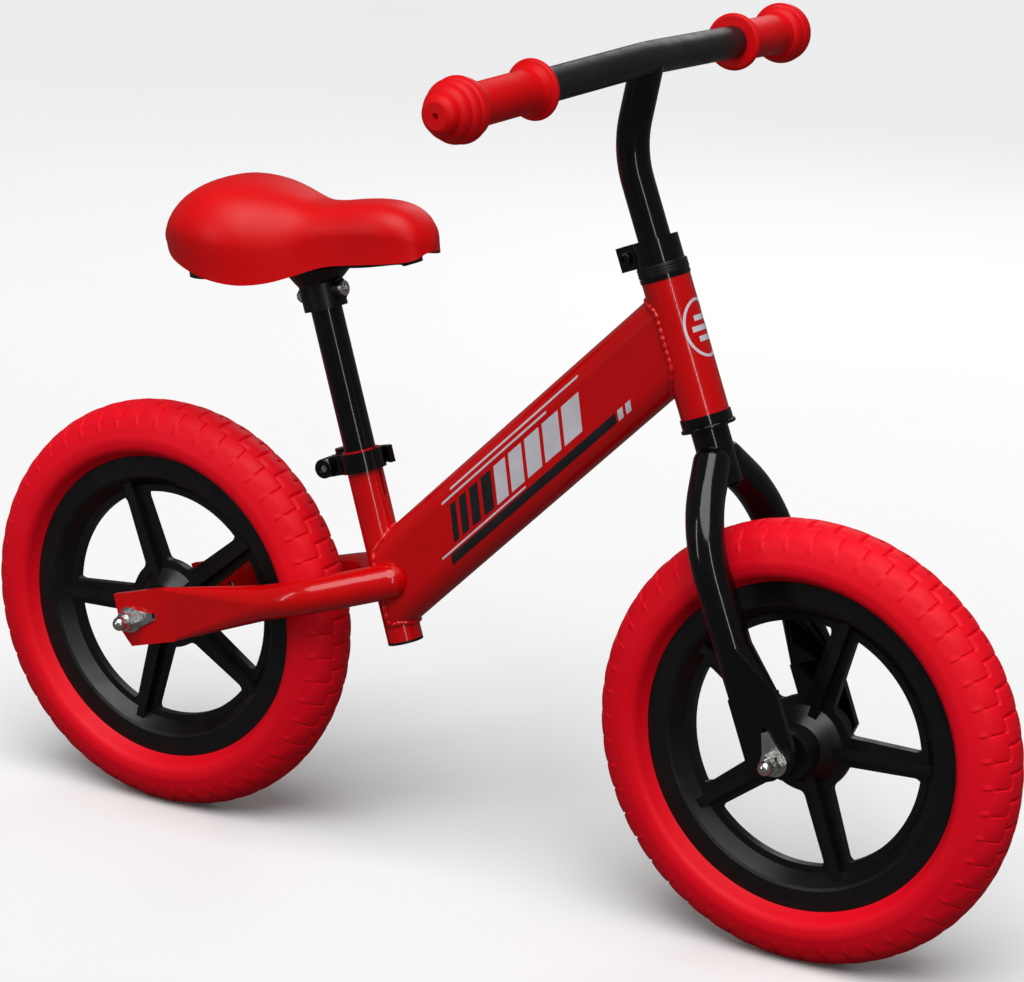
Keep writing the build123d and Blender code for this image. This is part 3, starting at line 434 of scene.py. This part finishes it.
def make_tyre(name, node, body, centre, turn):
    half = rounded(tyre_profile())
    total = sum(math.dist(a, b) for a, b in zip(half, half[1:]))
    steps = [0, 2.2, 4.4, 6.4, 8.0, 8.7, 9.2, 9.8, 10.3, 11.2, 13, 15, 17, 18.5, 19.5, 20.5,
             21.5, 22.5, 23.4, 24.2, 25.2, 27, 28.6, 29.4, 30.2, 31.5, 33.5, 36, 38.5, 41,
             43.2, 45.2, 47, 49, 51.5]
    steps = [s for s in steps if s < total - 16]
    tail = [total - 14 + k * 3.5 for k in range(5)]
    right = resampled(half, steps + tail)
    section = [(s, -y, r) for s, y, r in right[:0:-1]] + right
    shares = [0, 0.028, 0.06, 0.1, 0.18, 0.27, 0.36, 0.43, 0.46, 0.478, 0.5, 0.522, 0.54,
              0.57, 0.64, 0.73, 0.82, 0.9, 0.94, 0.972]
    pitch = TAU / BLOCKS
    verts = []
    for block in range(BLOCKS):
        for share in shares:
            angle = (block + share) * pitch + turn
            for s, y, r in section:
                # the two sides are half a block apart, except close to the crown
                local = share if y <= 0 or s < CROWN_STRIP else share + 0.5
                lift = tread_lift(local, s) if s < TREAD_END else 0.0
                rib = groove_wall(s - SIDE_BEAD_AT, SIDE_BEAD_HALF_WIDTH)
                side_bead = SIDE_BEAD_HEIGHT * rib
                tilt = math.atan2(abs(y) * smooth_step(4, 30, s), max(r - TYRE_CORE_RADIUS, 6))
                rise = lift + side_bead
                reach = r + rise * math.cos(tilt)
                sideways = rise * math.sin(tilt) * (1 if y > 0 else -1)
                around, up = math.cos(angle), math.sin(angle)
                verts.append(centre + Vector((reach * around, y + sideways, reach * up)))
    faces = grid_faces(BLOCKS * len(shares), len(section), True, False)
    obj = new_object(name, verts, faces, body, "red_foam", red_foam, 50.0)
    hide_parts(node)


make_tyre("front_foam_tyre", "front_tyre", "front_wheel", FRONT_AXLE, 0.02)
make_tyre("rear_foam_tyre", "rear_tyre", "rear_wheel", REAR_AXLE, 0.05)


# ---- Saddle pad: crowned wings that pull in to a narrow nose
PAD_COLUMNS = 28
HEM_COLUMNS = 8
HEM_PULL = 0.93
HEM_LENGTH_PULL = 0.985
HEM_LIFT = 2.2
HALF_WIDTH = [(-113, 0), (-110, 20), (-102, 34), (-88, 47), (-68, 57), (-48, 60.5), (-28, 57),
              (-10, 47), (6, 36.5), (20, 31), (38, 28.5), (58, 28), (76, 26), (90, 20.5),
              (97, 13), (100, 0)]
CROWN = [(-113, 16), (-108, 30), (-98, 45), (-82, 56), (-60, 61.5), (-40, 59.5), (-20, 53.5),
         (-4, 47), (10, 41.5), (24, 39.8), (44, 40.2), (62, 39.4), (78, 36), (90, 29), (97, 19),
         (100, 10)]
RIM = [(-113, 16), (-104, 14), (-92, 9), (-76, 3), (-58, -3), (-43, -7), (-28, -9.5),
       (-12, -9.5), (2, -7), (14, -4), (26, -1.8), (40, -1.4), (60, -1.4), (80, -1.6), (94, -0.6),
       (100, 4)]


def saddle_ring(x):
    """Section across the pad at x: from the right rim over the crown to the left rim."""
    width = along(HALF_WIDTH, x)
    top = along(CROWN, x)
    rim = along(RIM, x)
    nose = smooth_step(-10, 30, x)
    fullness = 0.62 - 0.14 * nose
    points = []
    for k in range(PAD_COLUMNS + 1):
        angle = math.pi * k / PAD_COLUMNS
        side = -math.cos(angle)
        rise = math.sin(angle)
        y = width * math.copysign(abs(side) ** (0.82 - 0.1 * nose), side)
        height = rim + (top - rim) * rise ** fullness
        # wings flare out below the crown; the skirt tucks in under them
        tuck = 1.0 - 0.09 * (1 - smooth_step(0.0, 0.32, rise))
        points.append((x, y * tuck, height))
    return points


def make_saddle():
    xs = [-113 + 1.2 * k for k in range(6)]
    xs += [-106 + 4.0 * k for k in range(50)]
    xs += [94.5, 96.5, 98.2, 99.4, 100.0]
    rings = [saddle_ring(x) for x in xs]
    verts, count = [], len(rings[0])
    for ring in rings:
        verts += [SADDLE @ Vector(p) for p in ring]
    faces = grid_faces(len(rings), count, False, False)
    # turned-in hem and a flat underside, closed to one solid
    under = []
    for ring in rings:
        x, y_right, z = ring[0]
        _, y_left, _ = ring[-1]
        row = []
        for k in range(HEM_COLUMNS + 1):
            share = k / HEM_COLUMNS
            y = (y_left + (y_right - y_left) * share) * HEM_PULL
            row.append(SADDLE @ Vector((x * HEM_LENGTH_PULL, y, z + HEM_LIFT)))
        under.append(row)
    base = len(verts)
    for row in under:
        verts += row
    across = HEM_COLUMNS + 1
    for i in range(len(rings) - 1):
        low, high = base + i * across, base + (i + 1) * across
        for k in range(HEM_COLUMNS):
            faces.append((low + k, low + k + 1, high + k + 1, high + k))
        faces.append((i * count + count - 1, (i + 1) * count + count - 1, high, low))
        faces.append((i * count, low + HEM_COLUMNS, high + HEM_COLUMNS, (i + 1) * count))
    for end in (0, len(rings) - 1):
        top = [end * count + k for k in range(count)]
        faces.append(tuple(top + [base + end * across + k for k in range(across)]))
    pad = new_object("saddle_cover", verts, faces, "seat", "red_vinyl", red_vinyl, 60.0)
    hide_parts("saddle_pad")


make_saddle()


# ---- Weld beads where the tubes meet
WELD_RADIUS = 2.1
WELD_RIPPLES = 34
WELD_POINTS = 240


def bead(name, path, radius, body, material, slot, ripples):
    """Rippled bead of weld along a closed path of points."""
    count = len(path)
    rounds = 8
    verts = []
    for k, point in enumerate(path):
        phase = TAU * k / count
        before = path[(k - 1) % count]
        after = path[(k + 1) % count]
        forward = (after - before).normalized()
        helper = Vector((0, 0, 1)) if abs(forward.z) < 0.9 else Vector((1, 0, 0))
        across = forward.cross(helper).normalized()
        up = across.cross(forward).normalized()
        wave = 1 + 0.13 * math.cos(ripples * phase) + 0.07 * math.sin(7 * phase + 1.0)
        for j in range(rounds):
            turn = TAU * j / rounds
            verts.append(point + (across * math.cos(turn) + up * math.sin(turn)) * radius * wave)
    faces = grid_faces(count, rounds, True, True)
    new_object(name, verts, faces, body, slot, material, 80.0)


def oval_loop(count):
    """Evenly spaced points round the oval section: (height, side)."""
    straight = 2 * DOWN_STRAIGHT
    arc = math.pi * DOWN_HALF_WIDTH
    total = 2 * straight + 2 * arc
    points = []
    for k in range(count):
        s = total * k / count
        if s < straight:
            points.append((-DOWN_STRAIGHT + s, DOWN_HALF_WIDTH))
        elif s < straight + arc:
            a = (s - straight) / DOWN_HALF_WIDTH
            height = DOWN_STRAIGHT + DOWN_HALF_WIDTH * math.sin(a)
            points.append((height, DOWN_HALF_WIDTH * math.cos(a)))
        elif s < 2 * straight + arc:
            points.append((DOWN_STRAIGHT - (s - straight - arc), -DOWN_HALF_WIDTH))
        else:
            a = (s - 2 * straight - arc) / DOWN_HALF_WIDTH
            height = -DOWN_STRAIGHT - DOWN_HALF_WIDTH * math.sin(a)
            points.append((height, -DOWN_HALF_WIDTH * math.cos(a)))
    return points


def meet_cylinder(start, direction, matrix, radius):
    """Where a line first meets a round tube about a frame's Z, or else where it is nearest."""
    inverse = matrix.inverted()
    p = inverse @ start
    d = inverse.to_3x3() @ direction
    a = d.x * d.x + d.y * d.y
    b = 2 * (p.x * d.x + p.y * d.y)
    c = p.x * p.x + p.y * p.y - radius * radius
    room = b * b - 4 * a * c
    if room < 0:
        t = -b / (2 * a)
    else:
        t = (-b - math.sqrt(room)) / (2 * a)
    return start + direction * t


def oval_weld(name, matrix, radius, backwards):
    direction = -DOWN_ALONG if backwards else DOWN_ALONG
    path = []
    middle = DOWN_SEAT + DOWN_ALONG * DOWN_LENGTH / 2
    for height, side in oval_loop(WELD_POINTS):
        start = middle + DOWN_ACROSS * height + Vector((0, side, 0))
        path.append(meet_cylinder(start, direction, matrix, radius))
    bead(name, path, WELD_RADIUS, "frame", red_paint, "red_paint", WELD_RIPPLES)


oval_weld("head_tube_weld", STEER, HEAD_RADIUS, False)
oval_weld("seat_tube_weld", SEAT, SEAT_RADIUS, True)


# ---- Fine rings on the headset's top cover
RIB_COUNT = 3
RIB_RADIUS = 17.0
RIB_THICKNESS = 0.45
FIRST_RIB_HEIGHT = 98.0
RIB_PITCH = 1.9


def ring(name, matrix, radius, height, thickness, body, slot, material):
    rounds, count = 8, 96
    verts = []
    for k in range(count):
        turn = TAU * k / count
        out = Vector((math.cos(turn), math.sin(turn), 0))
        for j in range(rounds):
            a = TAU * j / rounds
            level = Vector((0, 0, height + thickness * math.sin(a)))
            verts.append(matrix @ (out * (radius + thickness * math.cos(a)) + level))
    faces = grid_faces(count, rounds, True, True)
    new_object(name, verts, faces, body, slot, material, 80.0)


for index in range(RIB_COUNT):
    ring(
        f"top_cover_rib_{index + 1}", STEER, RIB_RADIUS, FIRST_RIB_HEIGHT + index * RIB_PITCH,
        RIB_THICKNESS, "fork", "black_plastic", moulded_black,
    )


# ---- Printed stripes and badge, raised a little over the tubes and rooted just under them
STRIPE_LIFT = 0.12
BADGE_LIFT = 0.14
PRINT_ROOT = -0.05
STRIPE_SLANT = 7.0
BLOCK_GAP = 3.6
BADGE_MIDDLE = 56.0
BADGE_BAR_PITCH = 7.0
BADGE_BAR_HALF_HEIGHT = 1.8


def on_down_tube(t, v, side, lift):
    """Point on the down tube's surface: t along it, v across its height."""
    over = max(abs(v) - DOWN_STRAIGHT, 0.0)
    radius = DOWN_HALF_WIDTH + lift
    out = math.sqrt(max(radius * radius - over * over, 0.0))
    return DOWN_SEAT + DOWN_ALONG * t + DOWN_ACROSS * v + Vector((0, side * out, 0))


def patch(name, corners, place, lift, body, slot, material, steps=(24, 6)):
    """Thin raised print between four (t, v) corners, laid on a surface by place()."""
    rows, columns = steps
    a, b, c, d = [Vector(p) for p in corners]
    verts = []
    for layer in (lift, PRINT_ROOT):
        for i in range(rows + 1):
            for j in range(columns + 1):
                s, r = i / rows, j / columns
                p = (a * (1 - s) + b * s) * (1 - r) + (d * (1 - s) + c * s) * r
                verts.append(place(p.x, p.y, layer))
    count = (rows + 1) * (columns + 1)
    faces = grid_faces(rows + 1, columns + 1, False, False)
    faces += [tuple(count + k for k in reversed(face)) for face in faces]
    edge = list(range(columns + 1))
    edge += [i * (columns + 1) + columns for i in range(1, rows + 1)]
    edge += [rows * (columns + 1) + j for j in range(columns - 1, -1, -1)]
    edge += [i * (columns + 1) for i in range(rows - 1, 0, -1)]
    for k in range(len(edge)):
        p, q = edge[k], edge[(k + 1) % len(edge)]
        faces.append((p, q, count + q, count + p))
    new_object(name, verts, faces, body, slot, material, 40.0)


def tube_stripes(side):
    label = "left" if side > 0 else "right"

    def place(t, v, lift):
        return on_down_tube(t, v, side, lift)

    def bar(name, t0, t1, v0, v1, material):
        shift = STRIPE_SLANT * (v1 - v0) / 10
        corners = [(t0, v0), (t1, v0), (t1 + shift, v1), (t0 + shift, v1)]
        patch(f"{label}_{name}", corners, place, STRIPE_LIFT, "frame", "red_paint", material)

    bar("long_stripe_top", 96, 232, 20.2, 21.6, decal_white)
    bar("long_stripe_mid", 84, 196, 16.0, 17.4, decal_white)
    bar("dark_stripe_low", 62, 236, -20.5, -14.5, decal_black)
    bar("thin_stripe_low", 58, 148, -13.2, -12.0, decal_white)
    start = 74.0
    for k in range(9):
        width = 6.0 + 1.5 * k
        shade = decal_white if k > 3 else decal_black
        bar(f"block_{k + 1}", start, start + width, -9.5, 12.5, shade)
        start += width + BLOCK_GAP
    bar("end_mark_1", 238, 243, -20.5, -14.5, decal_white)
    bar("end_mark_2", 246, 251, -20.5, -14.5, decal_white)


for side in (-1, 1):
    tube_stripes(side)


def on_head_tube(turn_mm, height, lift):
    angle = turn_mm / HEAD_RADIUS
    radius = HEAD_RADIUS + lift
    return STEER @ Vector((radius * math.cos(angle), radius * math.sin(angle), height))


def head_badge():
    """Plain oval badge with three level bars."""
    count = 48
    outer, inner = (15.5, 20.0), (13.6, 18.1)
    verts = []
    for lift in (BADGE_LIFT, PRINT_ROOT):
        for size in (outer, inner):
            for k in range(count):
                a = TAU * k / count
                turn, rise = size[0] * math.cos(a), size[1] * math.sin(a)
                verts.append(on_head_tube(turn, BADGE_MIDDLE + rise, lift))
    faces = []
    for k in range(count):
        n = (k + 1) % count
        faces.append((k, n, count + n, count + k))
        faces.append((2 * count + k, 3 * count + k, 3 * count + n, 2 * count + n))
        faces.append((k, 2 * count + k, 2 * count + n, n))
        faces.append((count + k, count + n, 3 * count + n, 3 * count + k))
    new_object("head_badge_rim", verts, faces, "frame", "red_paint", decal_white, 40.0)
    for k, half in enumerate((6.0, 9.5, 6.0)):
        height = BADGE_MIDDLE + (k - 1) * BADGE_BAR_PITCH
        low, high = height - BADGE_BAR_HALF_HEIGHT, height + BADGE_BAR_HALF_HEIGHT
        corners = [(-half, low), (half, low), (half, high), (-half, high)]
        name = f"head_badge_bar_{k + 1}"
        patch(name, corners, on_head_tube, BADGE_LIFT, "frame", "red_paint", decal_white)


head_badge()


# ---- Stage: floor, lights and camera, in metres
FLOOR_HALF = 14.0
FLOOR_BOUNCE = 0.10
WORLD_STRENGTH = 0.12
SUN_PLACE = (0.5, -1.1, 2.4)
SUN_TARGET = (0.0, 0.0, 0.0)
SUN_STRENGTH = 2.7
SUN_SPREAD = 55
STRIP_SIZE = (0.16, 1.8)
STRIP_POWER = 9
FILL_SIZE = (1.2, 1.0)
FILL_POWER = 7
LIGHT_TARGET = (0.0, 0.0, 0.3)
CAMERA_PLACE = (1.20876, -1.99375, 0.93314)
CAMERA_FORWARD = (-0.4910, 0.8286, -0.2691)
CAMERA_LENS = 123.626953
CAMERA_SENSOR = 36.0
CAMERA_ROLL = -1.7


def make_floor():
    """Floor that the camera sees as pale, and that reflections and bounced light see as dark."""
    mesh = bpy.data.meshes.new("floor")
    half = FLOOR_HALF
    corners = [(-half, -half, 0), (half, -half, 0), (half, half, 0), (-half, half, 0)]
    mesh.from_pydata(corners, [], [(0, 1, 2, 3)])
    floor = bpy.data.objects.new("floor", mesh)
    bpy.context.scene.collection.objects.link(floor)
    material, tree, shader, place = nodes_of("pale_floor")
    tint = noise(tree, place, 1.5, 2.0)
    seen = ramp(tree, tint, grey(0.93), grey(0.95))
    path = tree.nodes.new("ShaderNodeLightPath")
    mix = tree.nodes.new("ShaderNodeMix")
    mix.data_type = "RGBA"
    mix.inputs[6].default_value = grey(FLOOR_BOUNCE)
    tree.links.new(path.outputs["Is Camera Ray"], mix.inputs[0])
    tree.links.new(seen, mix.inputs[7])
    tree.links.new(mix.outputs[2], shader.inputs["Base Color"])
    shader.inputs["Roughness"].default_value = 0.9
    shader.inputs["Specular IOR Level"].default_value = 0.0
    mesh.materials.append(material)
    floor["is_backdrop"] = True


def make_light(name, place, size, power):
    data = bpy.data.lights.new(name, "AREA")
    data.shape = "RECTANGLE"
    data.size, data.size_y = size
    data.energy = power
    light = bpy.data.objects.new(name, data)
    light.location = place
    aim = Vector(LIGHT_TARGET) - Vector(place)
    light.rotation_euler = aim.to_track_quat("-Z", "Y").to_euler()
    bpy.context.scene.collection.objects.link(light)


def make_sun():
    data = bpy.data.lights.new("soft_sun", "SUN")
    data.energy = SUN_STRENGTH
    data.angle = math.radians(SUN_SPREAD)
    sun = bpy.data.objects.new("soft_sun", data)
    aim = Vector(SUN_TARGET) - Vector(SUN_PLACE)
    sun.rotation_euler = aim.to_track_quat("-Z", "Y").to_euler()
    bpy.context.scene.collection.objects.link(sun)


def make_world():
    world = bpy.data.worlds.new("studio")
    bpy.context.scene.world = world
    world.use_nodes = True
    background = world.node_tree.nodes["Background"]
    background.inputs["Color"].default_value = (1.0, 1.0, 1.0, 1)
    background.inputs["Strength"].default_value = WORLD_STRENGTH


def make_camera():
    data = bpy.data.cameras.new("camera")
    data.sensor_width = CAMERA_SENSOR
    data.lens = CAMERA_LENS
    data.clip_end = 100.0
    camera = bpy.data.objects.new("camera", data)
    forward = Vector(CAMERA_FORWARD).normalized()
    level = forward.cross(Vector((0, 0, 1))).normalized()
    roll = math.radians(CAMERA_ROLL)
    right = Matrix.Rotation(roll, 3, forward) @ level
    up = right.cross(forward)
    turn = Matrix((right, up, -forward)).transposed()
    camera.matrix_world = Matrix.Translation(Vector(CAMERA_PLACE)) @ turn.to_4x4()
    bpy.context.scene.collection.objects.link(camera)
    bpy.context.scene.camera = camera


make_floor()
make_world()
make_sun()
make_light("right_strip", (2.0, -2.0, 1.2), STRIP_SIZE, STRIP_POWER)
make_light("left_strip", (-1.4, -2.4, 1.2), STRIP_SIZE, STRIP_POWER)
make_light("back_fill", (-0.6, 2.4, 1.6), FILL_SIZE, FILL_POWER)
make_camera()
bpy.context.scene.view_settings.view_transform = "Standard"

boxes = {"cad": cad_box, "visual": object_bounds()}
plain = {name: [[float(c) for c in corner] for corner in box] for name, box in boxes.items()}
